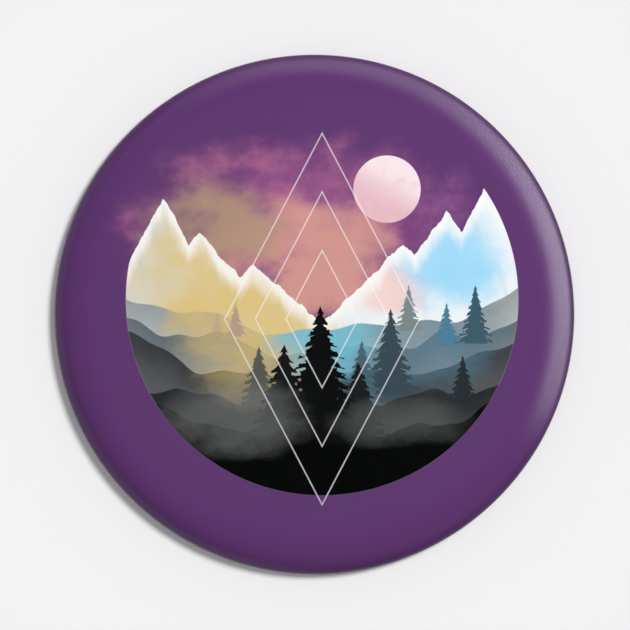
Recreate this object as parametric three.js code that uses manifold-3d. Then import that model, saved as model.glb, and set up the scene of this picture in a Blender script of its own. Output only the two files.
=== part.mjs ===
// A round pin-back button badge with a safety pin on its back.
// Millimetres. The badge hangs upright: its face looks along -Y, its back along +Y, +Z is up.
// The origin is the centre of the back plate's flat rear face.
import * as THREE from "three";
import { mergeVertices } from "three/addons/utils/BufferGeometryUtils.js";
import Module from "manifold-3d";

// ---- driving dimensions ----
const BADGE_DIAMETER = 58;
const FRONT_DEPTH = 4.6; // from the back plate's rear face to the crown of the front
const DOME_RADIUS = 220; // the nearly flat front
const SHOULDER_RADIUS = 3.4; // where the front turns down to the edge
const CURL_RADIUS = 1.0; // where the edge rolls inwards at the back

// How finely the round shapes are divided.
const LATHE_SEGMENTS = 40;
const STEPS = { dome: 3, shoulder: 6, curl: 6, groove: 6, rise: 6, bend: 3, strap: 4, cap: 5 };

// Each layer of the front lies between two depths below the outermost surface, and its rolled
// edge ends at the height lipEnd.
const FILM = { outer: 0, inner: 0.06, lipEnd: -0.9 };
const PAPER = { outer: 0.08, inner: 0.18, lipEnd: -0.9 };
const SHELL = { outer: 0.2, inner: 0.45, lipEnd: -0.4 };

const PLATE_THICKNESS = 0.25;
const GROOVE = { inner: 19.4, outer: 21.6, depth: 0.35 };
const BEAD = { foot: 24, ease: 0.9, crestRadius: 26.05, crestHeight: 0.85, bend: 0.65 };
const FLARE = { start: -0.95, bend: 0.5, edgeRadius: 27.65 };

const STRAP_X = [-9, 7]; // the two straps along the pin's fixed leg
const STRAP = { width: 3.5, halfTop: 1.25, bend: 0.45, topHeight: 1.575, lean: 20, feet: -0.15 };
const WINDOW = { width: 3.7, length: 3.5 }; // the hole each strap is pressed out of

const WIRE_RADIUS = 0.4;
const WIRE_SIDES = 10;
const COIL = { x: -17, z: 6.5, radius: 1.9, turns: 1.5, pitch: 1.0, stepsPerTurn: 16 };
const LEG_START_Y = 0.75;
const LEG_END = new THREE.Vector3(18, 1.1, 3.4);
const ARM_TIP = new THREE.Vector3(18, 1.1, 9.9);
const ARM_GAP = 0.3; // between the coil's end and the arm
const POINT_LENGTH = 4;
const POINT_RADIUS = 0.06;

const CAP_WALL = 0.25;
const CAP = { left: 13, right: 19.5, bottom: 2.45, top: 10.9, front: 0.1, rear: 2.1, corner: 2.6 };
const CAP_WEB = { bottom: 4.1, top: 4.6 }; // the pinch between the fixed leg and the point's pocket
const CAP_SLOT = { bottom: 4.9, lip: 10.1, end: 18.6 }; // the opening that the arm leaves by

const wasm = await Module();
wasm.setup();

// ---- helpers ----

// Points on an arc in a profile's plane, both ends included. Angles are in degrees.
function arc(x, y, radius, from, to, steps) {
  const points = [];
  for (let i = 0; i <= steps; i++) {
    const angle = THREE.MathUtils.degToRad(from + ((to - from) * i) / steps);
    points.push(new THREE.Vector2(x + radius * Math.cos(angle), y + radius * Math.sin(angle)));
  }
  return points;
}

// The two faces of a bent sheet: its middle line moved half a thickness to either side. An end
// on the lathe's axis stays on the axis.
function sheetFaces(line, thickness) {
  const side = (distance) =>
    line.map((point, i) => {
      const before = line[Math.max(i - 1, 0)];
      const after = line[Math.min(i + 1, line.length - 1)];
      const along = after.clone().sub(before).normalize();
      return new THREE.Vector2(
        point.x === 0 ? 0 : point.x + along.y * distance,
        point.y - along.x * distance,
      );
    });
  return [side(thickness / 2), side(-thickness / 2)];
}

// A manifold-3d solid of a closed three.js geometry.
function solidOf(geometry) {
  const bare = geometry.clone();
  bare.deleteAttribute("normal");
  bare.deleteAttribute("uv");
  const merged = mergeVertices(bare, 1e-4);
  return new wasm.Manifold(
    new wasm.Mesh({
      numProp: 3,
      vertProperties: new Float32Array(merged.attributes.position.array),
      triVerts: new Uint32Array(merged.index.array),
    }),
  );
}

// The three.js geometry of a manifold-3d solid, with flat normals.
function geometryOf(solid) {
  const mesh = solid.getMesh();
  const geometry = new THREE.BufferGeometry();
  geometry.setAttribute("position", new THREE.BufferAttribute(mesh.vertProperties, 3));
  geometry.setIndex(new THREE.BufferAttribute(mesh.triVerts, 1));
  const flat = geometry.toNonIndexed();
  flat.computeVertexNormals();
  return flat;
}

// A box between two corners.
function boxBetween(low, high) {
  const box = new THREE.BoxGeometry(high[0] - low[0], high[1] - low[1], high[2] - low[2]);
  box.translate((low[0] + high[0]) / 2, (low[1] + high[1]) / 2, (low[2] + high[2]) / 2);
  return box;
}

function part(name, geometry, material) {
  const mesh = new THREE.Mesh(geometry, material);
  mesh.name = name;
  return mesh;
}

// ---- materials ----
const printed = new THREE.MeshStandardMaterial({ color: 0x5d366d, roughness: 0.45 });
const film = new THREE.MeshStandardMaterial({
  color: 0xffffff,
  roughness: 0.08,
  transparent: true,
  opacity: 0.15,
});
const tinplate = new THREE.MeshStandardMaterial({ color: 0xc8c9cb, roughness: 0.32, metalness: 1 });
const nickel = new THREE.MeshStandardMaterial({ color: 0xd9d6cf, roughness: 0.18, metalness: 1 });

// ---- the front: shell, printed paper and film ----

// The badge's outline from the crown to the end of the rolled edge, moved inwards by depth.
function frontLine(depth, lipEnd) {
  const curlCentre = BADGE_DIAMETER / 2 - CURL_RADIUS;
  const shoulderCentre = BADGE_DIAMETER / 2 - SHOULDER_RADIUS;
  const reach = DOME_RADIUS - SHOULDER_RADIUS;
  const domeCentre = DOME_RADIUS - FRONT_DEPTH;
  const edgeHeight = domeCentre - Math.sqrt(reach ** 2 - shoulderCentre ** 2);
  const tilt = THREE.MathUtils.radToDeg(Math.asin(shoulderCentre / reach));
  const dome = arc(0, domeCentre, DOME_RADIUS - depth, -90, -90 + tilt, STEPS.dome);
  const shoulder = arc(shoulderCentre, edgeHeight, SHOULDER_RADIUS - depth, -90 + tilt, 0, STEPS.shoulder);
  const curl = arc(curlCentre, edgeHeight, CURL_RADIUS - depth, 0, 180, STEPS.curl);
  const lip = new THREE.Vector2(curlCentre - CURL_RADIUS + depth, lipEnd);
  dome[0].x = 0;
  return [...dome, ...shoulder.slice(1), ...curl.slice(1), lip];
}

function frontLayer(name, layer, material) {
  const outer = frontLine(layer.outer, layer.lipEnd);
  const inner = frontLine(layer.inner, layer.lipEnd).reverse();
  return part(name, new THREE.LatheGeometry([...outer, ...inner], LATHE_SEGMENTS), material);
}

// ---- the back plate ----

// The plate's middle line: flat panel, stiffening groove, raised bead, and a flange that turns
// forwards into the shell and flares out behind its rolled edge.
function plateLine() {
  const panel = -PLATE_THICKNESS / 2;
  const line = [new THREE.Vector2(0, panel)];
  for (let i = 0; i <= STEPS.groove; i++) {
    const share = i / STEPS.groove;
    const dip = (GROOVE.depth * (1 - Math.cos(2 * Math.PI * share))) / 2;
    line.push(new THREE.Vector2(THREE.MathUtils.lerp(GROOVE.inner, GROOVE.outer, share), panel - dip));
  }
  const rise = new THREE.CubicBezierCurve(
    new THREE.Vector2(BEAD.foot, panel),
    new THREE.Vector2(BEAD.foot + BEAD.ease, panel),
    new THREE.Vector2(BEAD.crestRadius - BEAD.ease, BEAD.crestHeight),
    new THREE.Vector2(BEAD.crestRadius, BEAD.crestHeight),
  );
  const wall = BEAD.crestRadius + BEAD.bend;
  line.push(...rise.getPoints(STEPS.rise));
  const crestCentre = BEAD.crestHeight - BEAD.bend;
  line.push(...arc(BEAD.crestRadius, crestCentre, BEAD.bend, 90, 0, STEPS.bend).slice(1));
  line.push(...arc(wall + FLARE.bend, FLARE.start, FLARE.bend, 180, 270, STEPS.bend));
  line.push(new THREE.Vector2(FLARE.edgeRadius, FLARE.start - FLARE.bend));
  return line;
}

// The fixed leg's centre line between the coil and the cap.
function legPoint(x) {
  const share = (x - COIL.x) / (LEG_END.x - COIL.x);
  return new THREE.Vector3(
    x,
    THREE.MathUtils.lerp(LEG_START_Y, LEG_END.y, share),
    THREE.MathUtils.lerp(COIL.z - COIL.radius, LEG_END.z, share),
  );
}

// A bridge over the fixed leg, with its feet inside the plate's thickness.
function strapGeometry(x) {
  const bendHeight = STRAP.topHeight - STRAP.bend;
  const left = arc(-STRAP.halfTop, bendHeight, STRAP.bend, 180 - STRAP.lean, 90, STEPS.strap);
  const drop = left[0].y - STRAP.feet;
  const spread = drop * Math.tan(THREE.MathUtils.degToRad(STRAP.lean));
  const foot = new THREE.Vector2(left[0].x - spread, STRAP.feet);
  const half = [foot, ...left];
  const mirrored = half.map((point) => new THREE.Vector2(-point.x, point.y)).reverse();
  const [lower, upper] = sheetFaces([...half, ...mirrored], PLATE_THICKNESS);
  const outline = new THREE.Shape([...lower, ...upper.reverse()]);
  const strap = new THREE.ExtrudeGeometry(outline, { depth: STRAP.width, bevelEnabled: false });
  strap.rotateY(Math.PI / 2);
  strap.translate(x - STRAP.width / 2, 0, legPoint(x).z);
  return strap;
}

// The cut through the plate under a strap.
function windowGeometry(x) {
  const z = legPoint(x).z;
  return boxBetween(
    [x - WINDOW.width / 2, -2 * PLATE_THICKNESS, z - WINDOW.length / 2],
    [x + WINDOW.width / 2, PLATE_THICKNESS, z + WINDOW.length / 2],
  );
}

function backPlate() {
  const [front, rear] = sheetFaces(plateLine(), PLATE_THICKNESS);
  let plate = solidOf(new THREE.LatheGeometry([...front, ...rear.reverse()], LATHE_SEGMENTS));
  for (const x of STRAP_X) {
    plate = plate.subtract(solidOf(windowGeometry(x)));
    plate = plate.add(solidOf(strapGeometry(x)));
  }
  return part("back_plate", geometryOf(plate), tinplate);
}

// ---- the safety pin ----

// The fixed leg from the cap to the coil, then the coil's turns. The first step is the leg.
class SpringCurve extends THREE.Curve {
  constructor() {
    super();
    this.coilSteps = COIL.turns * COIL.stepsPerTurn;
    this.steps = this.coilSteps + 1;
  }

  getUtoTmapping(u) {
    return u;
  }

  getPoint(t, target = new THREE.Vector3()) {
    const step = t * this.steps;
    if (step < 1) return target.copy(LEG_END).lerp(legPoint(COIL.x), step);
    const turns = (step - 1) / COIL.stepsPerTurn;
    const angle = -Math.PI / 2 - turns * 2 * Math.PI;
    return target.set(
      COIL.x + COIL.radius * Math.cos(angle),
      LEG_START_Y + COIL.pitch * turns,
      COIL.z + COIL.radius * Math.sin(angle),
    );
  }
}

function wireSection() {
  return new THREE.Shape(arc(0, 0, WIRE_RADIUS, 0, 360, WIRE_SIDES).slice(1));
}

function pinSpring() {
  const path = new SpringCurve();
  const wire = new THREE.ExtrudeGeometry(wireSection(), {
    steps: path.steps,
    extrudePath: path,
  });
  return part("safety_pin_spring", wire, nickel);
}

// The straight arm from just past the coil to its point.
function pinArm() {
  const hinge = new SpringCurve().getPoint(1);
  const along = ARM_TIP.clone().sub(hinge);
  const length = along.length() - ARM_GAP;
  const profile = [
    new THREE.Vector2(0, 0),
    new THREE.Vector2(WIRE_RADIUS, 0),
    new THREE.Vector2(WIRE_RADIUS, length - POINT_LENGTH),
    new THREE.Vector2(POINT_RADIUS, length),
    new THREE.Vector2(0, length),
  ];
  const arm = part("safety_pin_arm", new THREE.LatheGeometry(profile, WIRE_SIDES), nickel);
  along.normalize();
  arm.position.copy(hinge).addScaledVector(along, ARM_GAP);
  arm.quaternion.setFromUnitVectors(new THREE.Vector3(0, 1, 0), along);
  return arm;
}

// The cap's outline seen from behind, moved inwards by inset and cut off at the given left edge:
// square at the open end and rounded at the closed end.
function capOutline(inset, left) {
  const right = CAP.right - inset;
  const bottom = CAP.bottom + inset;
  const top = CAP.top - inset;
  const corner = CAP.corner - inset;
  return new THREE.Shape([
    new THREE.Vector2(left, bottom),
    ...arc(right - corner, bottom + corner, corner, -90, 0, STEPS.cap),
    ...arc(right - corner, top - corner, corner, 0, 90, STEPS.cap),
    new THREE.Vector2(left, top),
  ]);
}

// A slab of the given outline, which lies in the badge's plane between two distances behind it.
function slab(outline, front, rear) {
  const geometry = new THREE.ExtrudeGeometry(outline, { depth: rear - front, bevelEnabled: false });
  geometry.rotateX(Math.PI / 2);
  geometry.translate(0, rear, 0);
  return solidOf(geometry);
}

function pinCap() {
  const beyond = 1;
  const mouth = CAP.left - beyond;
  const insideFront = CAP.front + CAP_WALL;
  const insideRear = CAP.rear - CAP_WALL;
  const web = solidOf(
    boxBetween(
      [mouth, CAP.front, CAP_WEB.bottom],
      [CAP.right, CAP.rear, CAP_WEB.top],
    ),
  );
  const inside = slab(capOutline(CAP_WALL, mouth), insideFront, insideRear).subtract(web);
  const slot = solidOf(
    boxBetween(
      [mouth, insideRear - CAP_WALL, CAP_SLOT.bottom],
      [CAP_SLOT.end, CAP.rear + beyond, CAP_SLOT.lip],
    ),
  );
  const cap = slab(capOutline(0, CAP.left), CAP.front, CAP.rear).subtract(inside).subtract(slot);
  return part("safety_pin_cap", geometryOf(cap), nickel);
}

// ---- assembly ----
const badge = new THREE.Group();
badge.add(frontLayer("front_shell", SHELL, tinplate));
badge.add(frontLayer("artwork_paper", PAPER, printed));
badge.add(frontLayer("clear_film", FILM, film));
badge.add(backPlate());

const safetyPin = new THREE.Group();
safetyPin.add(pinSpring(), pinArm(), pinCap());
badge.add(safetyPin);

export default badge;
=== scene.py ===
import math

import bpy
import numpy as np
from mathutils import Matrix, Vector


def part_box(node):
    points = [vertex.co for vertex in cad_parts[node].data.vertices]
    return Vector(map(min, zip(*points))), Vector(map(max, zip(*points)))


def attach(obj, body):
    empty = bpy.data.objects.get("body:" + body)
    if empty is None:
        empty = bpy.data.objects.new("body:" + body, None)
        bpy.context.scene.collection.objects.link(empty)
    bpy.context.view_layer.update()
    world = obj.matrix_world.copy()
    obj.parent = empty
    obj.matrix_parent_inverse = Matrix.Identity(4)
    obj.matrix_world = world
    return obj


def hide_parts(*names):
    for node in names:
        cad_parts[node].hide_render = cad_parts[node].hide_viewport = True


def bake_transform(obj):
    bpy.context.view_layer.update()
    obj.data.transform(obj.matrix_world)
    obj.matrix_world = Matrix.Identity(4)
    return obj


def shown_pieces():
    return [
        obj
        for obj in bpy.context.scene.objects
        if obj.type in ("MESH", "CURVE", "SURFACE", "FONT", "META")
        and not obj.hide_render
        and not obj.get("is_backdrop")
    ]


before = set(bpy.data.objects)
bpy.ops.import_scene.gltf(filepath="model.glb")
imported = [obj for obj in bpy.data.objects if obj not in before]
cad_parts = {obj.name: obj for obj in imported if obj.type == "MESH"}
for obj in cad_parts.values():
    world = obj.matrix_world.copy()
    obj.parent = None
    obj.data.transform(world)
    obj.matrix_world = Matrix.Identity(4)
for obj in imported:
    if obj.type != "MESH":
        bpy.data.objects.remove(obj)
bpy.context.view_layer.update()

# A round pin-back button badge. The pieces are modelled in millimetres and scaled to metres when
# they are finished. The badge's face looks along -Y, its back along +Y, and +Z is up.
MM = 0.001

# ---- dimensions in millimetres ----
# The sizes follow the CAD model. The shoulder's easing, the folds and the wire's course are finer.
film_low, film_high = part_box("clear_film")
BADGE_RADIUS = (film_high.x - film_low.x) / 2 / MM
FRONT_DEPTH = -film_low.y / MM
DOME_RADIUS = 220
DOME_REACH = 24.506  # arc length from the crown to where the dome starts to bend faster
EASE_LENGTH = 3.5  # arc length over which the bend tightens to the shoulder's
SHOULDER_RADIUS = 3.2249
CURL_RADIUS = 1.0
CURL_CENTRE = BADGE_RADIUS - CURL_RADIUS

# each layer's outer and inner face, as depths under the badge's outside
FILM_FACES = (0, 0.06)
PAPER_FACES = (0.08, 0.18)
SHELL_FACES = (0.2, 0.45)
WRAP_END, SHELL_END = -0.9, -0.4  # the Y at which a layer's lip ends inside the rim

PLATE_THICKNESS = 0.25
GROOVE_INNER, GROOVE_OUTER, GROOVE_DEPTH = 19.4, 21.6, 0.35
BEAD_FOOT, BEAD_EASE, BEAD_RADIUS, BEAD_HEIGHT, BEAD_BEND = 24, 0.9, 26.05, 0.85, 0.65
FLARE_START, FLARE_BEND, FLARE_EDGE = -0.95, 0.5, 27.65
STRAP_X = (-9, 7)
STRAP_WIDTH, STRAP_TOP, STRAP_BEND = 3.5, 1.575, 0.42
STRAP_END, STRAP_RISE, STRAP_SHOULDER = 2.5, 1.95, 1.27  # along Z from the leg, on each side
STRAP_FOOT, STRAP_CROWN = -0.13, 0.04  # the feet's Y, and how much the top bulges
SHEET_CHAMFER = 0.05  # on the cut edges of straps and of the cap
STRAP_THICKNESS = PLATE_THICKNESS - 0.01  # so that its faces don't coincide with the plate's
WINDOW_WIDTH, WINDOW_LENGTH, WINDOW_CORNER = 3.7, 3.5, 0.25  # the opening under a strap

WIRE_RADIUS, WIRE_SIDES = 0.4, 20
COIL_X, COIL_Z, COIL_RADIUS, COIL_TURNS, COIL_PITCH = -17, 6.5, 1.9, 1.5, 1.0
LEG_START_Y, LEG_END_Y = 0.75, 1.1
LEG_END = Vector((18, LEG_END_Y, 3.4))
ARM_TIP = Vector((18, LEG_END_Y, 9.9))
COIL_EXIT = Vector((COIL_X, LEG_START_Y + COIL_PITCH * COIL_TURNS, COIL_Z + COIL_RADIUS))
LEAVING = Vector((1, COIL_PITCH / (2 * math.pi * COIL_RADIUS), 0))  # the wire's direction there
SPLICE = 0.3  # how far the spring's wire runs on inside the arm's
POINT_LENGTH, POINT_RADIUS = 5.5, 0.02  # the ground end of the arm
ARM_BOW = 0.12  # how far the arm bulges away from the fixed leg
SETTLE_LENGTH = 5  # over which the arm turns from the coil's direction to its own

CAP_WALL = 0.25
CAP_LEFT, CAP_RIGHT, CAP_BOTTOM, CAP_TOP = 13, 19.5, 2.45, 10.9
CAP_FRONT, CAP_REAR, CAP_CORNER = 0.1, 2.1, 2.6
CAP_RIM, CAP_INNER_RIM = 0.85, 0.62  # the rounding of its rims, outside and inside
SLOT_RIGHT, SLOT_BOTTOM, SLOT_TOP, SLOT_CORNER = 18.6, 3.5, 10.1, 0.7
SLOT_FRONT = 1.6  # the slot is cut through everything behind this Y
CURL_Z, CAP_CURL_RADIUS, CAP_CURL_RIGHT = 3.5, 0.875, 18.3  # the sheet curled round the leg
CURL_FROM, CURL_TO = 100, -62  # degrees round the leg
CRIMP_X, CRIMP_WIDTH, CRIMP_HEIGHT, CRIMP_DEPTH = 15.6, 0.55, 0.7, 0.22  # the dent in the curl
CAP_GRAIN = 0.06  # the size of the facets that the cap is remeshed to


# ---- mesh helpers ----

# an edge stays sharp if its faces turn by more than this many degrees
SHARP_ROLLED, SHARP_WIRE, SHARP_SHEET = 60, 50, 35


def spread(start, end, count):
    """Evenly spaced plain numbers from start to end, both included."""
    return np.linspace(start, end, count).tolist()


def arc(x, y, radius, start, end, steps):
    """Points on an arc from start to end degrees, both included."""
    angles = [math.radians(a) for a in spread(start, end, steps + 1)]
    return [(x + radius * math.cos(a), y + radius * math.sin(a)) for a in angles]


def new_piece(name, vertices, faces):
    """A mesh object of that name in the scene."""
    mesh = bpy.data.meshes.new(name)
    mesh.from_pydata([tuple(v) for v in vertices], [], faces)
    mesh.validate()
    piece = bpy.data.objects.new(name, mesh)
    bpy.context.collection.objects.link(piece)
    return piece


def revolve(name, rings, segments, wave=None):
    """A closed body turned about the Y axis. A ring is (radius, y, outward r, outward y, share).

    The first and last ring are points on the axis. wave gives a height for each angle, by which
    each ring moves outwards times its share.
    """
    angles = np.linspace(0, 2 * math.pi, segments, endpoint=False)
    height = wave(angles) if wave else np.zeros(segments)
    vertices = [(0, rings[0][1], 0)]
    for radius, y, out_r, out_y, share in rings[1:-1]:
        r = radius + out_r * share * height
        level = y + out_y * share * height
        vertices += zip(r * np.cos(angles), level, r * np.sin(angles))
    vertices.append((0, rings[-1][1], 0))
    last = len(rings) - 2
    after = [(j + 1) % segments for j in range(segments)]
    faces = [(0, 1 + j, 1 + after[j]) for j in range(segments)]
    for i in range(last - 1):
        here = 1 + i * segments
        there = here + segments
        faces += [(here + j, there + j, there + after[j], here + after[j]) for j in range(segments)]
    here = 1 + (last - 1) * segments
    faces += [(here + j, here + segments, here + after[j]) for j in range(segments)]
    return new_piece(name, vertices, faces)


def loft(name, loops):
    """A closed body through loops that have the same number of points, with flat ends."""
    count = len(loops[0])
    vertices = [point for loop in loops for point in loop]
    after = [(j + 1) % count for j in range(count)]
    faces = [tuple(reversed(range(count)))]
    for i in range(len(loops) - 1):
        here = i * count
        there = here + count
        faces += [(here + j, here + after[j], there + after[j], there + j) for j in range(count)]
    end = (len(loops) - 1) * count
    faces.append(tuple(range(end, end + count)))
    piece = new_piece(name, vertices, faces)
    face_outwards(piece)
    return piece


def face_outwards(piece):
    """Turns the faces of a closed body outwards."""
    mesh = piece.data
    mesh.calc_loop_triangles()
    corners = [[mesh.vertices[i].co for i in t.vertices] for t in mesh.loop_triangles]
    if sum(a.dot(b.cross(c)) for a, b, c in corners) < 0:
        mesh.flip_normals()


def apply_modifiers(piece):
    """Gives a piece the mesh that its modifiers make of it."""
    graph = bpy.context.evaluated_depsgraph_get()
    mesh = bpy.data.meshes.new_from_object(piece.evaluated_get(graph))
    piece.modifiers.clear()
    piece.data = mesh


def combine(piece, tool, operation):
    """Joins, cuts or intersects piece with tool, which is used up."""
    modifier = piece.modifiers.new("combine", "BOOLEAN")
    modifier.object = tool
    modifier.operation = operation
    modifier.solver = "EXACT"
    apply_modifiers(piece)
    bpy.data.objects.remove(tool)
    return piece


def finish_piece(piece, sharp_degrees, *materials):
    """Scales a finished piece to metres, smooths its shading and gives it its materials."""
    mesh = piece.data
    points = np.empty(len(mesh.vertices) * 3)
    mesh.vertices.foreach_get("co", points)
    mesh.vertices.foreach_set("co", points * MM)
    mesh.polygons.foreach_set("use_smooth", [True] * len(mesh.polygons))
    mesh.set_sharp_from_angle(angle=math.radians(sharp_degrees))
    if not mesh.materials:
        for material in materials:
            mesh.materials.append(material)
    mesh.update()
    return piece


def tube_loops(points, radii, sides):
    """Circles round a path, turned as little as possible from one to the next."""
    angles = spread(0, 2 * math.pi, sides + 1)[:-1]
    loops = []
    normal = (points[1] - points[0]).orthogonal().normalized()
    for i, point in enumerate(points):
        along = (points[min(i + 1, len(points) - 1)] - points[max(i - 1, 0)]).normalized()
        normal = (normal - normal.dot(along) * along).normalized()
        side = along.cross(normal)
        spokes = [math.cos(a) * normal + math.sin(a) * side for a in angles]
        loops.append([point + radii[i] * spoke for spoke in spokes])
    return loops


def rounded_line(corners, radius, steps=6):
    """An open line in a plane through the corner points, each inner corner rounded off."""
    line = [Vector(corners[0])]
    for before, corner, after in zip(corners, corners[1:], corners[2:]):
        before, corner, after = Vector(before), Vector(corner), Vector(after)
        start = corner + (before - corner).normalized() * radius
        end = corner + (after - corner).normalized() * radius
        for i in range(steps + 1):
            t = i / steps
            line.append(start * (1 - t) ** 2 + corner * 2 * t * (1 - t) + end * t**2)
    line.append(Vector(corners[-1]))
    return line


def ribbon(name, line, x_low, x_high, thickness, chamfer):
    """A strip of sheet that follows a line of (z, y) points and runs along X between two ends."""
    half = thickness / 2
    section = (
        (x_low + chamfer, -half),
        (x_high - chamfer, -half),
        (x_high, -half + chamfer),
        (x_high, half - chamfer),
        (x_high - chamfer, half),
        (x_low + chamfer, half),
        (x_low, half - chamfer),
        (x_low, -half + chamfer),
    )
    loops = []
    for i, point in enumerate(line):
        along = (line[min(i + 1, len(line) - 1)] - line[max(i - 1, 0)]).normalized()
        out = Vector((-along.y, along.x))
        loop = []
        for x, offset in section:
            place = point + out * offset
            loop.append((x, place.y, place.x))
        loops.append(loop)
    return loft(name, loops)


# ---- shader helpers ----


class Value:
    """A number that varies over a surface. Arithmetic on it adds math nodes to the material."""

    def __init__(self, tree, socket):
        self.tree = tree
        self.socket = socket

    def math(self, operation, *others, swapped=False):
        node = self.tree.nodes.new("ShaderNodeMath")
        node.operation = operation
        terms = (*others, self) if swapped else (self, *others)
        for socket, term in zip(node.inputs, terms):
            connect(self.tree, term, socket)
        return Value(self.tree, node.outputs[0])

    def __add__(self, other):
        return self.math("ADD", other)

    def __radd__(self, other):
        return self.math("ADD", other)

    def __sub__(self, other):
        return self.math("SUBTRACT", other)

    def __rsub__(self, other):
        return self.math("SUBTRACT", other, swapped=True)

    def __mul__(self, other):
        return self.math("MULTIPLY", other)

    def __rmul__(self, other):
        return self.math("MULTIPLY", other)

    def __truediv__(self, other):
        return self.math("DIVIDE", other)

    def __abs__(self):
        return self.math("ABSOLUTE")

    def step(self, low, high, start=0.0, end=1.0):
        """Eases from start to end as the number goes from low to high."""
        node = self.tree.nodes.new("ShaderNodeMapRange")
        node.interpolation_type = "SMOOTHSTEP"
        connect(self.tree, self, node.inputs["Value"])
        ends = {"From Min": low, "From Max": high, "To Min": start, "To Max": end}
        for name, value in ends.items():
            node.inputs[name].default_value = value
        return Value(self.tree, node.outputs[0])


def connect(tree, source, socket):
    """Puts a Value or a plain number on a socket."""
    if isinstance(source, Value):
        tree.links.new(source.socket, socket)
    else:
        socket.default_value = source


def colour(red, green, blue):
    """A colour given in display values from 0 to 255, as the renderer wants it."""
    channels = []
    for value in (red / 255, green / 255, blue / 255):
        channels.append(value / 12.92 if value <= 0.04045 else ((value + 0.055) / 1.055) ** 2.4)
    return (*channels, 1.0)


def position(tree):
    """The surface point's x, y and z in millimetres."""
    place = tree.nodes.new("ShaderNodeTexCoord")
    split = tree.nodes.new("ShaderNodeSeparateXYZ")
    tree.links.new(place.outputs["Object"], split.inputs[0])
    return [Value(tree, split.outputs[i]) * (1 / MM) for i in range(3)]


def noise(tree, across, up, size, detail=2.0, roughness=0.5, seed=0.0):
    """Smooth noise between about 0.2 and 0.8, with lumps of the given size."""
    place = tree.nodes.new("ShaderNodeCombineXYZ")
    connect(tree, across, place.inputs[0])
    connect(tree, up, place.inputs[1])
    place.inputs[2].default_value = seed * size
    node = tree.nodes.new("ShaderNodeTexNoise")
    tree.links.new(place.outputs[0], node.inputs["Vector"])
    node.inputs["Scale"].default_value = 1 / size
    node.inputs["Detail"].default_value = detail
    node.inputs["Roughness"].default_value = roughness
    return Value(tree, node.outputs[0])


def mix(tree, first, second, share, blend="MIX"):
    """One colour laid over another. Colours are tuples or colour sockets; share is a Value."""
    node = tree.nodes.new("ShaderNodeMix")
    node.data_type = "RGBA"
    node.blend_type = blend
    connect(tree, share, node.inputs[0])
    for socket, source in ((node.inputs[6], first), (node.inputs[7], second)):
        if isinstance(source, tuple):
            socket.default_value = source
        else:
            tree.links.new(source, socket)
    return node.outputs[2]


def bump(tree, height, strength, distance):
    """A normal tilted by a relief. A height of 1 stands for the distance, in millimetres."""
    node = tree.nodes.new("ShaderNodeBump")
    node.inputs["Strength"].default_value = strength
    node.inputs["Distance"].default_value = distance * MM
    connect(tree, height, node.inputs["Height"])
    return node.outputs[0]


def new_material(name):
    """A material and its Principled shader."""
    material = bpy.data.materials.new(name)
    material.use_nodes = True
    return material, material.node_tree, material.node_tree.nodes["Principled BSDF"]


# ---- metals and plain surfaces ----


def tinplate_material():
    """Bright rolled sheet: grain along X, cloudy patches, and a few fine scratches."""
    material, tree, shader = new_material("tinplate")
    x, y, z = position(tree)
    up = z + y * 0.7  # so that the grain doesn't smear over the walls that face along Z
    grain = noise(tree, x * 0.12, up, 0.6, detail=3, roughness=0.55)
    clouds = noise(tree, x, z, 7, detail=1)
    scratch = noise(tree, x * 0.9 + z * 0.5, (z - x * 0.6) * 0.05, 0.25, detail=1, seed=4)
    scratched = scratch.step(0.70, 0.76)
    shade = mix(tree, colour(198, 199, 201), colour(216, 216, 214), grain.step(0.3, 0.7) * 0.5)
    shade = mix(tree, shade, colour(196, 192, 186), clouds.step(0.45, 0.75) * 0.5)
    tree.links.new(shade, shader.inputs["Base Color"])
    shader.inputs["Metallic"].default_value = 1.0
    rough = grain.step(0.2, 0.8, 0.24, 0.29) + clouds.step(0.4, 0.7, 0.0, 0.07)
    connect(tree, rough + scratched * 0.10, shader.inputs["Roughness"])
    height = grain * 0.0005 - scratched * 0.0010 + clouds * 0.022
    tree.links.new(bump(tree, height, 1.0, 1.0), shader.inputs["Normal"])
    return material


def nickel_material(name, stretch):
    """Bright nickel plating with faint drawing lines along X, speckle and dulled patches."""
    material, tree, shader = new_material(name)
    x, y, z = position(tree)
    lines = noise(tree, x * stretch, z + y * 1.3, 0.09, detail=3, roughness=0.6)
    patches = noise(tree, x + y, z - y, 1.6, detail=4, roughness=0.6, seed=2)
    dulled = patches.step(0.52, 0.72)
    shade = mix(tree, colour(222, 218, 210), colour(186, 180, 170), dulled * 0.55)
    shade = mix(tree, shade, colour(236, 234, 230), lines.step(0.55, 0.75) * 0.4)
    tree.links.new(shade, shader.inputs["Base Color"])
    shader.inputs["Metallic"].default_value = 1.0
    rough = lines.step(0.3, 0.7, 0.12, 0.22) + dulled * 0.14
    connect(tree, rough, shader.inputs["Roughness"])
    tree.links.new(bump(tree, lines + patches * 0.5, 0.3, 0.008), shader.inputs["Normal"])
    return material


def paper_back_material():
    """The unprinted side of the paper disc."""
    material, tree, shader = new_material("paper_back")
    x, _, z = position(tree)
    fibres = noise(tree, x, z, 0.4, detail=6, roughness=0.7)
    shade = mix(tree, colour(236, 233, 226), colour(247, 246, 243), fibres.step(0.35, 0.65))
    tree.links.new(shade, shader.inputs["Base Color"])
    shader.inputs["Roughness"].default_value = 0.9
    tree.links.new(bump(tree, fibres, 0.3, 0.02), shader.inputs["Normal"])
    return material


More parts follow.
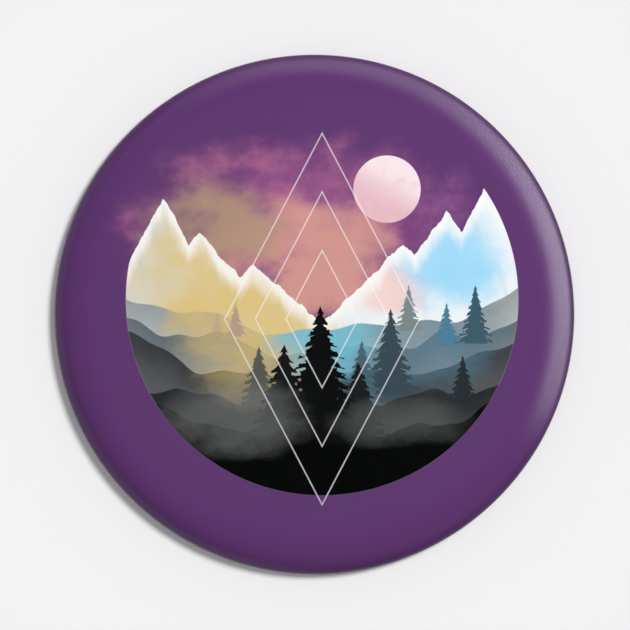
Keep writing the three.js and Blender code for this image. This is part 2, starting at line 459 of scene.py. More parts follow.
def film_material():
    """Clear film. The gloss it gives the print is the printed side's clear coat."""
    material, tree, shader = new_material("clear_film")
    x, _, z = position(tree)
    haze = noise(tree, x, z, 3, detail=4, roughness=0.6)
    connect(tree, haze.step(0.3, 0.7, 0.05, 0.12), shader.inputs["Roughness"])
    tree.links.new(
        mix(tree, colour(10, 10, 12), colour(22, 22, 24), haze.step(0.3, 0.7)),
        shader.inputs["Base Color"],
    )
    shader.inputs["Alpha"].default_value = 0.04
    return material


# ---- the printed picture ----

PRINT_PURPLE = colour(93, 54, 109)
PICTURE_X, PICTURE_Z, PICTURE_RADIUS = 0.85, 1.7, 21.8  # the round picture's centre and radius
SOFT_EDGE = 0.07  # the width over which a printed edge fades
TWIG_EDGE = 0.09  # the same for a fir
DROOP, NOTCH = 0.09, 0.44  # how far a fir's branches hang, and how deep the gaps between them are


def tent_line(across, peaks):
    """The height of a mountain ridge: the highest of some straight-sided peaks."""
    ridge = None
    for place, height, slope in peaks:
        peak = height - abs(across - place) * slope
        ridge = peak if ridge is None else ridge.math("MAXIMUM", peak)
    return ridge


def fir(across, up, ragged, foot, top, half_width, tiers):
    """How much a fir tree covers a point: drooping tiers of branches under a pointed top."""
    foot_x, foot_z = foot
    out = abs(across - foot_x) / half_width
    level = (up - foot_z) / (top - foot_z)
    tier = ((level + out * DROOP) * tiers).math("FRACT")
    reach = (1 - level) * ((1.0 - tier * NOTCH) + ragged)
    edge = TWIG_EDGE / half_width
    return (reach - out).step(0, edge) * level.step(0, 0.02)


def lozenge(across, up, centre, half_width, half_height, line_width):
    """How much a thin diamond outline covers a point."""
    size = abs(across) / half_width + abs(up - centre) / half_height
    scale = 1 / math.hypot(1 / half_width, 1 / half_height)
    away = abs(size - 1) * scale
    return away.step(line_width / 2, line_width / 2 + SOFT_EDGE, 1.0, 0.0)


def glow(u, v, centre_u, centre_v, width, height, drift):
    """A soft patch of coloured light in the mist, with uneven edges."""
    across = (u - centre_u) / width
    up = (v - centre_v) / height
    return (1 - across * across - up * up + (drift - 0.5) * 2.2).step(-0.2, 1.0)


# Mountain peaks from left to right: place, height and slope.
PEAKS = (
    (-17.6, 11.4, 1.9),
    (-13.6, 7.4, 1.1),
    (-7.6, 3.8, 0.85),
    (2.6, -0.8, 0.5),
    (9.0, 6.2, 1.0),
    (13.8, 9.8, 1.4),
    (18.3, 12.8, 1.9),
)

# Hills from far to near: the top's height, its waves' height and length, their seed, and the
# colours at the top and at the misty foot.
HILLS = (
    (-3.4, 3.0, 9.0, 21, colour(148, 156, 158), colour(180, 184, 180)),
    (-5.8, 3.0, 7.5, 24, colour(96, 107, 113), colour(128, 137, 140)),
    (-8.6, 3.0, 8.0, 27, colour(56, 58, 61), colour(84, 87, 89)),
    (-12.0, 3.4, 7.0, 31, colour(40, 41, 43), colour(62, 63, 64)),
)

# Firs by the hill they stand on: foot, height, half width, tiers of branches and colour.
FIRS = (
    (
        ((-9.6, -4.2), 4.0, 1.3, 7, colour(178, 152, 130)),
        ((-11.6, -4.2), 3.0, 1.0, 6, colour(186, 166, 136)),
        ((9.6, -3.6), 5.4, 1.7, 9, colour(120, 132, 134)),
    ),
    (
        ((13.8, -5.2), 5.0, 1.7, 9, colour(72, 122, 148)),
        ((17.0, -5.0), 6.8, 2.2, 10, colour(58, 88, 104)),
    ),
    (
        ((7.6, -13.0), 12.2, 4.2, 13, colour(54, 72, 82)),
        ((4.4, -12.0), 7.6, 2.9, 10, colour(68, 96, 108)),
        ((-7.0, -12.4), 7.4, 2.8, 9, colour(84, 86, 78)),
    ),
    (
        ((15.6, -12.4), 6.4, 2.2, 10, colour(40, 45, 49)),
        ((-4.2, -19.4), 14.6, 6.4, 14, colour(22, 24, 24)),
        ((4.0, -19.4), 12.6, 5.8, 13, colour(26, 31, 33)),
        ((-0.2, -20.5), 20.0, 8.0, 18, colour(13, 15, 15)),
    ),
)

MOON_U, MOON_V, MOON_RADIUS = 7.2, 12.2, 3.7

# The line figure: upright diamonds, one inside the other (centre, half width, half height).
LOZENGES = ((-2.2, 10.8, 20.6), (-2.2, 7.4, 14.1), (-2.2, 4.0, 7.6))
LOZENGE_LINE = 0.07  # the line's width


def add_smoke(tree, paint, u, v, billow, drift):
    """Coloured smoke behind the mountains, thickest over the valley."""
    near = 1.62 - (u + 2) * (u + 2) * 0.0030 - (v - 6.5) * (v - 6.5) * 0.0085
    smoke = (near + (billow - 0.5) * 2.6).step(0.15, 1.35)
    lit = (billow + drift * 0.4).step(0.55, 0.95)
    shade = mix(tree, colour(134, 74, 126), colour(176, 104, 142), lit)
    coral = glow(u, v, -1.0, 3.0, 12.0, 8.5, billow)
    shade = mix(tree, shade, colour(212, 152, 140), coral * 0.95)
    tan = glow(u, v, -13.5, 8.0, 9.5, 7.0, drift)
    shade = mix(tree, shade, colour(176, 146, 118), tan * 0.9)
    mauve = glow(u, v, 15.0, 12.0, 10.0, 5.0, billow)
    shade = mix(tree, shade, colour(150, 92, 148), mauve * 0.8)
    return mix(tree, paint, shade, smoke * 0.95)


def add_moon(tree, paint, u, v, drift):
    """A pale moon with faint grey seas."""
    across = u - MOON_U
    up = v - MOON_V
    away = (across * across + up * up).math("SQRT")
    lit = (up + across * 0.5 + drift * 3).step(-1.0, 4.2)
    shade = mix(tree, colour(226, 182, 192), colour(245, 226, 230), lit)
    seas = noise(tree, across, up, 1.6, detail=4, seed=11).step(0.50, 0.66)
    shade = mix(tree, shade, colour(232, 200, 206), seas * 0.6)
    return mix(tree, paint, shade, away.step(MOON_RADIUS, MOON_RADIUS + SOFT_EDGE, 1.0, 0.0))


def add_mountains(tree, paint, u, v, drift, inside):
    """Pale mountains with snow on their ridges and coloured light in their mist."""
    jagged = (noise(tree, u, 0.0, 1.7, detail=5, roughness=0.65, seed=13) - 0.5) * 2.4
    ridge = tent_line(u, PEAKS) + jagged
    warmth = (u * 0.07 + drift - 0.5).step(-0.3, 0.5)
    shade = mix(tree, colour(214, 209, 190), colour(233, 239, 242), warmth)
    cliffs = noise(tree, u + v * 0.35, v * 0.3, 1.5, detail=5, roughness=0.6, seed=15)
    shade = mix(tree, shade, colour(188, 188, 186), cliffs.step(0.5, 0.75) * 0.35)
    gold = glow(u, v, -9.5, 0.5, 11.5, 10.0, drift)
    shade = mix(tree, shade, colour(218, 192, 126), gold)
    rose = glow(u, v, 7.5, 1.5, 5.5, 3.6, drift)
    shade = mix(tree, shade, colour(240, 196, 188), rose * 0.8)
    blue = glow(u, v, 14.5, 4.2, 7.0, 6.0, drift)
    shade = mix(tree, shade, colour(150, 212, 243), blue * 0.95)
    snow = (ridge - v + (cliffs - 0.5) * 3).step(0.1, 3.0, 0.85, 0.0)
    shade = mix(tree, shade, colour(247, 247, 246), snow)
    return mix(tree, paint, shade, (ridge - v).step(0, SOFT_EDGE) * inside)


def add_hill(tree, paint, u, v, drift, ragged, inside, index):
    """One of the misty hills, and the firs that stand on it."""
    level, rise, length, seed, top_shade, foot_shade = HILLS[index]
    waves = (noise(tree, u, 0.0, length, detail=1, seed=seed) - 0.5) * (2.4 * rise)
    top = waves + u * u * 0.008 + level
    shade = mix(tree, top_shade, foot_shade, (top - v - drift * 3).step(-1.5, 3.5))
    gold = glow(u, v, -8.5 + index, -4.5, 9.5, 8.5, drift)
    shade = mix(tree, shade, colour(204, 180, 118), gold * (0.95 - 0.19 * index))
    cyan = glow(u, v, 0.5, -4.2, 7.0, 5.5, drift)
    shade = mix(tree, shade, colour(108, 184, 206), cyan * 0.85)
    cold = glow(u, v, 13.0, -4.5, 8.5, 6.0, drift)
    shade = mix(tree, shade, colour(86, 126, 148), cold * 0.55)
    paint = mix(tree, paint, shade, (top - v).step(0, SOFT_EDGE) * inside)
    for foot, height, half_width, tiers, tint in FIRS[index]:
        branches = fir(u, v, ragged, foot, foot[1] + height, half_width, tiers)
        paint = mix(tree, paint, tint, branches * inside)
    return paint


def add_foreground(tree, paint, u, v, billow, drift, inside):
    """The nearest, black hill, with low mist over it and over the feet of the big firs."""
    waves = (noise(tree, u, 0.0, 6.0, detail=1, seed=37) - 0.5) * 5.0
    top = waves + u * u * 0.012 - 15.6
    paint = mix(tree, paint, colour(6, 7, 7), (top - v).step(0, SOFT_EDGE) * inside)
    left_mist = glow(u, v, -9.5, -13.0, 9.0, 4.5, drift) * 0.5
    right_mist = glow(u, v, 9.0, -13.5, 8.0, 3.0, billow) * 0.3
    return mix(tree, paint, colour(112, 116, 114), (left_mist + right_mist) * inside)


def picture(tree, x, z):
    """The print: misty hills and firs under a moon, in a round picture on plain purple."""
    u = x - PICTURE_X
    v = z - PICTURE_Z
    away = (u * u + v * v).math("SQRT")
    inside = away.step(PICTURE_RADIUS - SOFT_EDGE, PICTURE_RADIUS, 1.0, 0.0)
    billow = noise(tree, u, v * 1.2, 7, detail=10, roughness=0.6, seed=1)
    drift = noise(tree, u * 0.8, v * 1.2, 6, detail=7, roughness=0.6, seed=5)
    paint = add_smoke(tree, PRINT_PURPLE, u, v, billow, drift)
    paint = add_moon(tree, paint, u, v, drift)
    paint = add_mountains(tree, paint, u, v, drift, inside)
    ragged = (noise(tree, u, v, 0.45, detail=1, seed=9) - 0.5) * 0.9
    for index in range(len(HILLS)):
        paint = add_hill(tree, paint, u, v, drift, ragged, inside, index)
    paint = add_foreground(tree, paint, u, v, billow, drift, inside)
    for centre, half_width, half_height in LOZENGES:
        line = lozenge(u, v, centre, half_width, half_height, LOZENGE_LINE)
        paint = mix(tree, paint, colour(246, 244, 248), line * 0.52)
    # the ink's own unevenness
    speckle = noise(tree, u, v, 1.1, detail=3, roughness=0.6, seed=7)
    return mix(tree, paint, colour(128, 128, 128), abs(speckle - 0.5) * 0.06, "SOFT_LIGHT")


def print_material():
    """Glossy print: the picture on paper, under a clear coat that stands for the film's gloss."""
    material, tree, shader = new_material("printed_picture")
    x, _, z = position(tree)
    tree.links.new(picture(tree, x, z), shader.inputs["Base Color"])
    shader.inputs["Roughness"].default_value = 0.6
    shader.inputs["Specular IOR Level"].default_value = 0.0
    shader.inputs["Coat Weight"].default_value = 1.0
    shader.inputs["Coat Roughness"].default_value = 0.14
    shader.inputs["Coat IOR"].default_value = 1.5
    ripple = noise(tree, x, z, 2.2, detail=3, roughness=0.5, seed=3)
    tree.links.new(bump(tree, ripple, 0.06, 0.05), shader.inputs["Coat Normal"])
    return material


# ---- the pieces ----

PLEATS, PLEAT_HEIGHT = 72, 0.13
FRONT_SEGMENTS, PLAIN_SEGMENTS = 480, 256  # round the printed layers, and round bare metal


def front_outline():
    """The outermost line of the badge, as (r, y, tilt, arc length) from crown to curl.

    The tilt is how far the surface has turned away from facing -Y, in radians. The bend grows
    evenly from the dome's to the shoulder's, so that the face has no visible ring.
    """
    outline = []
    for length in spread(0, DOME_REACH, 10):
        tilt = length / DOME_RADIUS
        y = DOME_RADIUS * (1 - math.cos(tilt)) - FRONT_DEPTH
        outline.append((DOME_RADIUS * math.sin(tilt), y, tilt, length))
    r, y, start_tilt, start = outline[-1]
    easing = 240  # small steps along the bend, of which every twentieth becomes a point
    step = EASE_LENGTH / easing
    for i in range(1, easing + 1):
        share = (i - 0.5) / easing
        gain = (1 / SHOULDER_RADIUS - 1 / DOME_RADIUS) * share**2 / 2
        tilt = start_tilt + EASE_LENGTH * (share / DOME_RADIUS + gain)
        r += math.cos(tilt) * step
        y += math.sin(tilt) * step
        if i % 20 == 0:
            outline.append((r, y, tilt, start + i * step))
    tilt = start_tilt + EASE_LENGTH * (1 / SHOULDER_RADIUS + 1 / DOME_RADIUS) / 2
    centre_r = r - SHOULDER_RADIUS * math.sin(tilt)
    centre_y = y + SHOULDER_RADIUS * math.cos(tilt)
    start = start + EASE_LENGTH
    for turn in spread(0, math.pi / 2 - tilt, 13)[1:]:
        r = centre_r + SHOULDER_RADIUS * math.sin(tilt + turn)
        y = centre_y - SHOULDER_RADIUS * math.cos(tilt + turn)
        outline.append((r, y, tilt + turn, start + SHOULDER_RADIUS * turn))
    start = outline[-1][3]
    for turn in spread(0, math.pi, 15)[1:]:
        r = CURL_CENTRE + CURL_RADIUS * math.cos(turn)
        y = centre_y + CURL_RADIUS * math.sin(turn)
        outline.append((r, y, math.pi / 2 + turn, start + CURL_RADIUS * turn))
    return outline


def front_rings(depth, lip_end):
    """Rings for revolve: the outline moved inwards by depth, then the lip down to lip_end."""
    rings = []
    lengths = []
    for r, y, tilt, length in front_outline():
        out_r, out_y = math.sin(tilt), -math.cos(tilt)
        share = min(1.0, max(0.0, (tilt - math.pi / 2) / (0.6 * math.pi)))
        rings.append((r - depth * out_r, y - depth * out_y, out_r, out_y, share**1.3))
        lengths.append(length)
    r, y = rings[-1][:2]
    for part in (0.35, 0.7, 1.0):
        rings.append((r, y + (lip_end - y) * part, -1.0, 0.0, 1.0))
        lengths.append(length + (y - lip_end) * part)
    return rings, lengths


def pleats(angles):
    """Height of the small folds where the flat disc is gathered behind the badge's edge."""
    wander = 0.9 * np.sin(5 * angles + 0.7) + 0.6 * np.sin(13 * angles)
    fold = (0.5 + 0.5 * np.cos(PLEATS * angles + wander)) ** 4
    depth = 0.5 + 0.3 * np.sin(7 * angles + 2.0) + 0.2 * np.sin(17 * angles)
    return PLEAT_HEIGHT * fold * depth


def front_layer(name, faces, lip_end, segments, wave=None):
    """One of the nested skins of the badge's front."""
    outer, inner = (front_rings(depth, lip_end)[0] for depth in faces)
    return revolve(name, outer + inner[::-1], segments, wave)


def make_film(material):
    """The clear film over the print."""
    film = front_layer("film_over_print", FILM_FACES, WRAP_END, FRONT_SEGMENTS, pleats)
    finish_piece(film, SHARP_ROLLED, material)
    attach(film, "badge")
    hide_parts("clear_film")


def make_print(print_side, plain_side):
    """The printed paper disc. Its outer half of the faces carries the picture."""
    paper = front_layer("printed_disc", PAPER_FACES, WRAP_END, FRONT_SEGMENTS, pleats)
    mesh = paper.data
    finish_piece(paper, SHARP_ROLLED, print_side, plain_side)
    outer_faces = len(mesh.polygons) // 2
    slots = np.zeros(len(mesh.polygons), dtype=np.int32)
    slots[outer_faces:] = 1
    mesh.polygons.foreach_set("material_index", slots)
    add_bake_map(mesh, outer_faces)
    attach(paper, "badge")
    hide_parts("artwork_paper")


# where each side of the printed disc lies on its texture map: the middle and half the width
PRINTED_PATCH, PLAIN_PATCH = (0.42, 0.405), (0.905, 0.085)


def add_bake_map(mesh, outer_faces):
    """A texture map that gives most of its room to the printed face and a corner to the back."""
    lengths = np.array(front_rings(0, WRAP_END)[1])
    spans = np.concatenate((lengths, lengths[::-1])) / lengths[-1]
    per_vertex = np.concatenate((spans[:1], np.repeat(spans[1:-1], FRONT_SEGMENTS), spans[-1:]))
    layer = mesh.uv_layers.new(name="OFBake")
    for polygon in mesh.polygons:
        centre, half = PRINTED_PATCH if polygon.index < outer_faces else PLAIN_PATCH
        for loop in polygon.loop_indices:
            vertex = mesh.loops[loop].vertex_index
            point = mesh.vertices[vertex].co
            away = half * per_vertex[vertex] / max(math.hypot(point.x, point.z), 1e-9)
            layer.data[loop].uv = (centre + point.x * away, centre + point.z * away)


def make_shell(material):
    """The bare tinplate shell under the paper."""
    shell = front_layer("shell_pressing", SHELL_FACES, SHELL_END, PLAIN_SEGMENTS)
    finish_piece(shell, SHARP_ROLLED, material)
    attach(shell, "badge")
    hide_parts("front_shell")


def plate_line():
    """The back plate's middle line as (r, y) points, from the centre to the flared edge."""
    panel = -PLATE_THICKNESS / 2
    line = [(0, panel)]
    line += [(r, panel) for r in spread(2, GROOVE_INNER - 1, 6)]
    for share in spread(0, 1, 17):
        dip = GROOVE_DEPTH * (1 - math.cos(2 * math.pi * share)) / 2
        line.append((GROOVE_INNER + (GROOVE_OUTER - GROOVE_INNER) * share, panel - dip))
    rise = (
        Vector((BEAD_FOOT, panel)),
        Vector((BEAD_FOOT + BEAD_EASE, panel)),
        Vector((BEAD_RADIUS - BEAD_EASE, BEAD_HEIGHT)),
        Vector((BEAD_RADIUS, BEAD_HEIGHT)),
    )
    for t in spread(0, 1, 15):
        weights = ((1 - t) ** 3, 3 * t * (1 - t) ** 2, 3 * t**2 * (1 - t), t**3)
        point = sum((w * p for w, p in zip(weights, rise)), Vector((0, 0)))
        line.append(tuple(point))
    line += arc(BEAD_RADIUS, BEAD_HEIGHT - BEAD_BEND, BEAD_BEND, 90, 0, 10)[1:]
    wall = BEAD_RADIUS + BEAD_BEND
    line += arc(wall + FLARE_BEND, FLARE_START, FLARE_BEND, 180, 270, 8)
    line.append((FLARE_EDGE, FLARE_START - FLARE_BEND))
    return line


def sheet_rings(line, thickness):
    """Both faces of a bent sheet as rings: its middle line moved half a thickness each way."""
    faces = []
    for distance in (thickness / 2, -thickness / 2):
        rings = []
        for i, (r, y) in enumerate(line):
            before = Vector(line[max(i - 1, 0)])
            after = Vector(line[min(i + 1, len(line) - 1)])
            along = (after - before).normalized()
            radius = 0 if i == 0 else r + along.y * distance
            rings.append((radius, y - along.x * distance, 0, 0, 0))
        faces.append(rings)
    return faces[0] + faces[1][::-1]


def leg_point(x):
    """The pin's fixed leg at a place along X."""
    share = (x - COIL_X) / (LEG_END.x - COIL_X)
    start = Vector((COIL_X, LEG_START_Y, COIL_Z - COIL_RADIUS))
    return start.lerp(LEG_END, share)


def rounded_box_loops(x_low, x_high, z_low, z_high, y_low, y_high, corner):
    """A block with its four upright corners rounded, as two loops along Y."""
    outline = []
    for x, z, start in (
        (x_high - corner, z_low + corner, -90),
        (x_high - corner, z_high - corner, 0),
        (x_low + corner, z_high - corner, 90),
        (x_low + corner, z_low + corner, 180),
    ):
        outline += arc(x, z, corner, start, start + 90, 4)
    return [[(x, y, z) for x, z in outline] for y in (y_low, y_high)]


def strap_line(z):
    """A bridge's middle line over the leg at z, as (z, y) points: foot, side, top and back."""
    half = [
        (-STRAP_END, STRAP_FOOT),
        (-STRAP_RISE, STRAP_FOOT),
        (-STRAP_SHOULDER, STRAP_TOP),
        (0, STRAP_TOP + STRAP_CROWN),
    ]
    corners = half + [(-across, y) for across, y in half[-2::-1]]
    return [point + Vector((z, 0)) for point in rounded_line(corners, STRAP_BEND)]


def make_plate(material):
    """The back plate, with two bridges pressed out of it over the pin's fixed leg."""
    plate = revolve("back_pressing", sheet_rings(plate_line(), PLATE_THICKNESS), PLAIN_SEGMENTS)
    for x in STRAP_X:
        z = leg_point(x).z
        half_x, half_z = WINDOW_WIDTH / 2, WINDOW_LENGTH / 2
        sides = (x - half_x, x + half_x, z - half_z, z + half_z)
        window = loft("window", rounded_box_loops(*sides, -1, 1, WINDOW_CORNER))
        combine(plate, window, "DIFFERENCE")
        ends = (x - STRAP_WIDTH / 2, x + STRAP_WIDTH / 2)
        strap = ribbon("strap", strap_line(z), *ends, STRAP_THICKNESS, SHEET_CHAMFER)
        combine(plate, strap, "UNION")
    finish_piece(plate, SHARP_SHEET, material)
    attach(plate, "badge")
    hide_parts("back_plate")


def make_spring(material):
    """The fixed leg and the coil."""
    points = [leg_point(x) for x in spread(LEG_END.x, COIL_X, 36)]
    for turn in spread(0, COIL_TURNS, 73)[1:]:
        angle = -math.pi / 2 - turn * 2 * math.pi
        x = COIL_X + COIL_RADIUS * math.cos(angle)
        z = COIL_Z + COIL_RADIUS * math.sin(angle)
        points.append(Vector((x, LEG_START_Y + COIL_PITCH * turn, z)))
    radii = [WIRE_RADIUS] * len(points)
    points.append(COIL_EXIT + LEAVING.normalized() * SPLICE)
    radii.append(WIRE_RADIUS * 0.95)  # thinner, so that its end stays inside the arm
    spring = loft("spring_wire", tube_loops(points, radii, WIRE_SIDES))
    finish_piece(spring, SHARP_WIRE, material)
    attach(spring, "badge")
    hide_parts("safety_pin_spring")


def make_arm(material):
    """The arm, ground to a point. Near the coil it turns from the coil's direction to its own."""
    arriving = (ARM_TIP - COIL_EXIT).normalized()
    length = (ARM_TIP - COIL_EXIT).length
    points = []
    radii = []
    for share in spread(0, 1, 90):
        straight = COIL_EXIT.lerp(ARM_TIP, share)
        distance = share * length
        fade = math.exp(-((distance / SETTLE_LENGTH) ** 2))
        bow = Vector((0, 0, ARM_BOW)) * math.sin(math.pi * share)
        points.append(straight + (LEAVING - arriving) * distance * fade + bow)
        ground = min(1.0, ((length - distance) / POINT_LENGTH) ** 0.8)
        radii.append(max(POINT_RADIUS, WIRE_RADIUS * ground))
    arm = loft("arm_wire", tube_loops(points, radii, WIRE_SIDES))
    finish_piece(arm, SHARP_WIRE, material)
    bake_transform(arm)
    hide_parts("safety_pin_arm")


def cap_outline(inset, left):
    """The cap seen from behind: square at the open end, rounded at the closed end."""
    right = CAP_RIGHT - inset
    bottom = CAP_BOTTOM + inset
    top = CAP_TOP - inset
    corner = CAP_CORNER - inset
    outline = [(left + share * (right - corner - left), bottom) for share in (0, 0.33, 0.66)]
    outline += arc(right - corner, bottom + corner, corner, -90, 0, 10)
    outline += arc(right - corner, top - corner, corner, 0, 90, 10)
    outline += [(left + share * (right - corner - left), top) for share in (0.66, 0.33, 0)]
    return outline


def soft_slab(name, inset, left, edge):
    """A slab of the cap's outline with rounded rims."""
    front = CAP_FRONT + inset
    rear = CAP_REAR - inset
    front_half = []
    rear_half = []
    for angle in spread(0, math.pi / 2, 7):
        outline = cap_outline(inset + edge * (1 - math.sin(angle)), left)
        depth = edge * (1 - math.cos(angle))
        front_half.append([(x, front + depth, z) for x, z in outline])
        rear_half.append([(x, rear - depth, z) for x, z in outline])
    return loft(name, front_half + rear_half[::-1])


def make_cap(material):
    """The pressed cap: a folded sheet that is curled round the leg and catches the point."""
    beyond = CAP_REAR + 0.9  # past the cap, for the tools that cut right through
    cap = soft_slab("cap_pressing", 0, CAP_LEFT - 1, CAP_RIM)
    combine(cap, soft_slab("inside", CAP_WALL, CAP_LEFT - 2, CAP_INNER_RIM), "DIFFERENCE")
    slot = (CAP_LEFT - 3, SLOT_RIGHT, SLOT_BOTTOM, SLOT_TOP, SLOT_FRONT, beyond, SLOT_CORNER)
    combine(cap, loft("slot", rounded_box_loops(*slot)), "DIFFERENCE")
    course = arc(CURL_Z, LEG_END_Y, CAP_CURL_RADIUS, CURL_FROM, CURL_TO, 14)
    ends = (CAP_LEFT - 0.8, CAP_CURL_RIGHT)
    curl = ribbon("curl", [Vector(point) for point in course], *ends, CAP_WALL, SHEET_CHAMFER)
    combine(cap, curl, "UNION")
    mouth = (CAP_LEFT - 4, CAP_LEFT, CAP_BOTTOM - 3, CAP_TOP + 3, -1, beyond, 0.01)
    combine(cap, loft("mouth", rounded_box_loops(*mouth)), "DIFFERENCE")
    remesh = cap.modifiers.new("remesh", "REMESH")
    remesh.mode = "VOXEL"
    remesh.voxel_size = CAP_GRAIN
    smooth = cap.modifiers.new("smooth", "SMOOTH")
    smooth.factor = 0.5
    smooth.iterations = 5
    apply_modifiers(cap)
    for vertex in cap.data.vertices:
        x, y, z = vertex.co
        if y > LEG_END_Y:
            away = ((x - CRIMP_X) / CRIMP_WIDTH) ** 2 + ((z - CURL_Z) / CRIMP_HEIGHT) ** 2
            vertex.co.y = y - CRIMP_DEPTH * math.exp(-away)
    finish_piece(cap, SHARP_ROLLED, material)
    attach(cap, "badge")
    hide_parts("safety_pin_cap")


# ---- the studio ----

BACKGROUND = colour(240, 240, 240)
BACKDROP_Y = 1.45  # just behind the rolled edge, in millimetres
BACKDROP_SIZE = 60  # half its width, in millimetres
FADE_START, FADE_END = 0.72, 0.98  # where it fades out, as shares of that
CAMERA_DISTANCE = 1.0
VIEW_WIDTH = 70.15 * MM  # what the frame spans at the badge's edge
SENSOR = 36
CAMERA_X, CAMERA_Z = 0.064 * MM, -0.055 * MM
WIDEST_Y = 0.318 * MM  # where the badge is widest
WINDOW_LEVEL, SKY_LEVEL, ROOM_LEVEL = 4.1, 1.4, 0.04  # what polished surfaces mirror
REAR_LEVEL = 0.20  # the same for the room behind the badge
AMBIENT = 0.30  # the even light on everything else
LIGHT_DISTANCE = 1.2


def make_camera():
    """Straight in front, as in the photograph."""
    data = bpy.data.cameras.new("camera")
    data.sensor_width = SENSOR
    data.lens = SENSOR * CAMERA_DISTANCE / VIEW_WIDTH
    data.clip_start = 0.05
    data.clip_end = 20
    camera = bpy.data.objects.new("camera", data)
    camera.location = (CAMERA_X, WIDEST_Y - CAMERA_DISTANCE, CAMERA_Z)
    camera.rotation_euler = (math.pi / 2, 0, 0)
    bpy.context.collection.objects.link(camera)
    bpy.context.scene.camera = camera


def make_backdrop():
    """A pale wall close behind the badge. It fades out at its rim and is clear from behind."""
    half = BACKDROP_SIZE
    signs = ((-1, -1), (1, -1), (1, 1), (-1, 1))
    corners = [(MM * half * x, MM * BACKDROP_Y, MM * half * z) for x, z in signs]
    wall = new_piece("backdrop", corners, [(0, 1, 2, 3)])
    material = bpy.data.materials.new("backdrop")
    material.use_nodes = True
    tree = material.node_tree
    tree.nodes.clear()
    x, _, z = position(tree)
    away = (x * x + z * z).math("SQRT")
    out = tree.nodes.new("ShaderNodeOutputMaterial")
    diffuse = tree.nodes.new("ShaderNodeBsdfDiffuse")
    diffuse.inputs["Color"].default_value = BACKGROUND
    clear = tree.nodes.new("ShaderNodeBsdfTransparent")
    blend = tree.nodes.new("ShaderNodeMixShader")
    fade = away.step(FADE_START * half, FADE_END * half, 1.0, 0.0)
    side = tree.nodes.new("ShaderNodeNewGeometry")
    front = 1 - Value(tree, side.outputs["Backfacing"])
    connect(tree, fade * front, blend.inputs[0])
    tree.links.new(clear.outputs[0], blend.inputs[1])
    tree.links.new(diffuse.outputs[0], blend.inputs[2])
    tree.links.new(blend.outputs[0], out.inputs[0])
    wall.data.materials.append(material)
    wall.visible_shadow = False
    wall.visible_diffuse = False
    wall.visible_glossy = False
    wall.visible_transmission = False
    wall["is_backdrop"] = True
    return wall


def mirrored_light(x, y, z):
    """What a polished surface sees in the direction (x, y, z), seen from the badge."""
    lateral = (x * x + z * z + 0.0001).math("SQRT")

    def towards(degrees):
        """How directly the direction points that way round the badge, from -1 to 1."""
        angle = math.radians(degrees)
        return (x * math.cos(angle) + z * math.sin(angle)) / lateral

    # dark straight in front, so that the face keeps its colour, and dark past the sides
    sideways = y.step(-0.99, -0.60) * y.step(-0.05, 0.75, 1.0, 0.0)
    # a window on the right that ends at the lower right, and a wide soft light above it
    window = towards(8).math("MAXIMUM", 0.0).math("POWER", 4.0) * towards(98).step(-0.68, -0.4)
    sky = towards(60).step(0.35, 1.0) * y.step(-0.95, -0.35)
    ahead = sideways * (window * WINDOW_LEVEL + sky * SKY_LEVEL + ROOM_LEVEL)
    # a faint sheen along the lower left edge
    sheen = towards(205).step(0.2, 0.8) * y.step(-0.1, 0.3) * y.step(0.3, 0.9, 0.26, 0.06)
    behind = y.step(0.4, 0.9) * REAR_LEVEL
    return ahead + sheen + behind


def make_world():
    """An even pale room, which polished surfaces see as mirrored_light says."""
    world = bpy.data.worlds.new("studio")
    bpy.context.scene.world = world
    world.use_nodes = True
    tree = world.node_tree
    tree.nodes.clear()
    out = tree.nodes.new("ShaderNodeOutputWorld")
    background = tree.nodes.new("ShaderNodeBackground")
    background.inputs["Color"].default_value = (1, 1, 1, 1)
    place = tree.nodes.new("ShaderNodeTexCoord")
    split = tree.nodes.new("ShaderNodeSeparateXYZ")
    tree.links.new(place.outputs["Generated"], split.inputs[0])
    x, y, z = (Value(tree, split.outputs[i]) for i in range(3))
    rays = tree.nodes.new("ShaderNodeLightPath")
    seen = Value(tree, rays.outputs["Is Camera Ray"])
    glossy = Value(tree, rays.outputs["Is Glossy Ray"])
    lit = glossy * mirrored_light(x, y, z) + (1 - glossy) * AMBIENT
    level = seen * BACKGROUND[0] + (1 - seen) * lit
    connect(tree, level, background.inputs["Strength"])
    tree.links.new(background.outputs[0], out.inputs[0])


def aim(light, direction):
    """Puts a light out in a direction from the badge, and turns it to face the badge."""
    towards = Vector(direction).normalized()
    light.location = towards * LIGHT_DISTANCE
    light.rotation_mode = "QUATERNION"
    light.rotation_quaternion = towards.to_track_quat("Z", "Y")


def collect(name, pieces):
    """A collection that a light can be limited to."""
    collection = bpy.data.collections.new(name)
    for piece in pieces:
        collection.objects.link(piece)
    return collection


def make_light(name, direction, size, level, receivers, glossy=False):
    """A soft panel that is either matt light or a reflection.

    level is its brightness on a white surface that faces it or, for a reflection, its own.
    """
    data = bpy.data.lights.new(name, "AREA")
    data.shape = "RECTANGLE"
    data.size, data.size_y = size
    if glossy:
        data.energy = level * math.pi * size[0] * size[1]
    else:
        data.energy = level * math.pi**2 * LIGHT_DISTANCE**2
    light = bpy.data.objects.new(name, data)
    aim(light, direction)
    light.visible_diffuse = not glossy
    light.visible_glossy = glossy
    light.visible_camera = False
    light.light_linking.receiver_collection = receivers
    bpy.context.collection.objects.link(light)


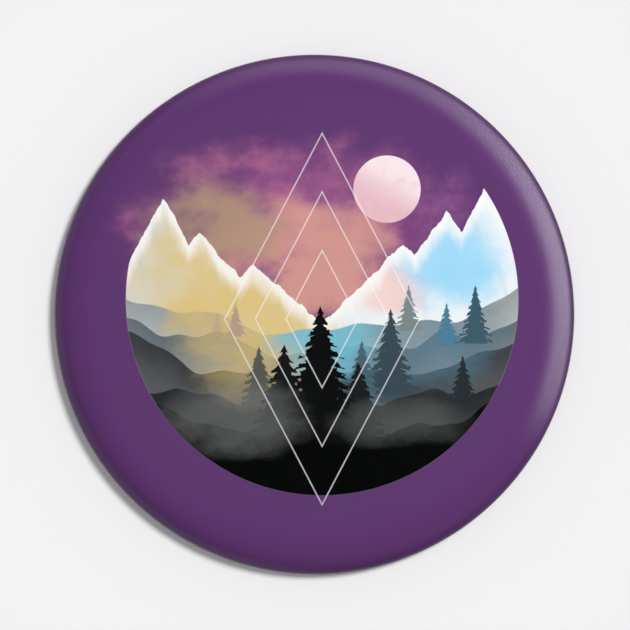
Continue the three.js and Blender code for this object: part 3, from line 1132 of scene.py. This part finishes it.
def make_sun(name, direction, level, softness, receivers):
    """A far light. level is its brightness on a white surface that faces -Y."""
    data = bpy.data.lights.new(name, "SUN")
    data.angle = math.radians(softness)
    data.energy = level * math.pi / -Vector(direction).normalized().y
    light = bpy.data.objects.new(name, data)
    aim(light, direction)
    light.visible_glossy = False
    light.light_linking.receiver_collection = receivers
    bpy.context.collection.objects.link(light)


def make_studio():
    """Camera, wall, room and lights. Wall and badge are lit apart, each as in the photograph."""
    make_camera()
    make_world()
    wall_only = collect("wall_only", [make_backdrop()])
    badge_only = collect("badge_only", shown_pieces())
    printed = ("film_over_print", "printed_disc")
    metal_only = collect("metal_only", [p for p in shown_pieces() if p.name not in printed])

    # the wall, with the shadow at the lower left
    make_sun("wall_light", (0.362, -0.891, 0.273), 0.645, 15, wall_only)
    make_sun("wall_fill", (0, -1, 0), 0.085, 10, wall_only)

    # matt light on the badge: in front, from the upper right, and round the edge and back
    soft = (0.6, 0.6)
    make_light("front_fill", (0, -1, 0), (0.7, 0.7), 0.54, badge_only)
    make_light("key", (0.587, -0.643, 0.492), soft, 0.60, badge_only)
    make_light("left_fill", (-0.60, -0.26, 0.757), soft, 0.26, badge_only)
    make_light("low_fill", (0.554, -0.259, -0.791), soft, 0.16, badge_only)
    make_light("rear_fill", (-0.3, 0.9, 0.5), soft, 0.5, badge_only)

    # panels that only the bare metal mirrors
    make_light("back_panel", (0.15, 1, 0.3), (2.2, 1.6), 0.85, metal_only, glossy=True)
    make_light("back_left", (-0.9, 0.5, 0.35), (0.9, 1.8), 1.3, metal_only, glossy=True)
    make_light("back_low", (0.55, 0.5, -0.75), (1.2, 0.35), 1.2, metal_only, glossy=True)
    bpy.context.scene.view_settings.view_transform = "Standard"


tinplate = tinplate_material()
make_shell(tinplate)
make_print(print_material(), paper_back_material())
make_film(film_material())
make_plate(tinplate)
make_spring(nickel_material("wire_nickel", 0.08))
make_arm(nickel_material("arm_nickel", 0.08))
make_cap(nickel_material("cap_nickel", 0.5))
make_studio()
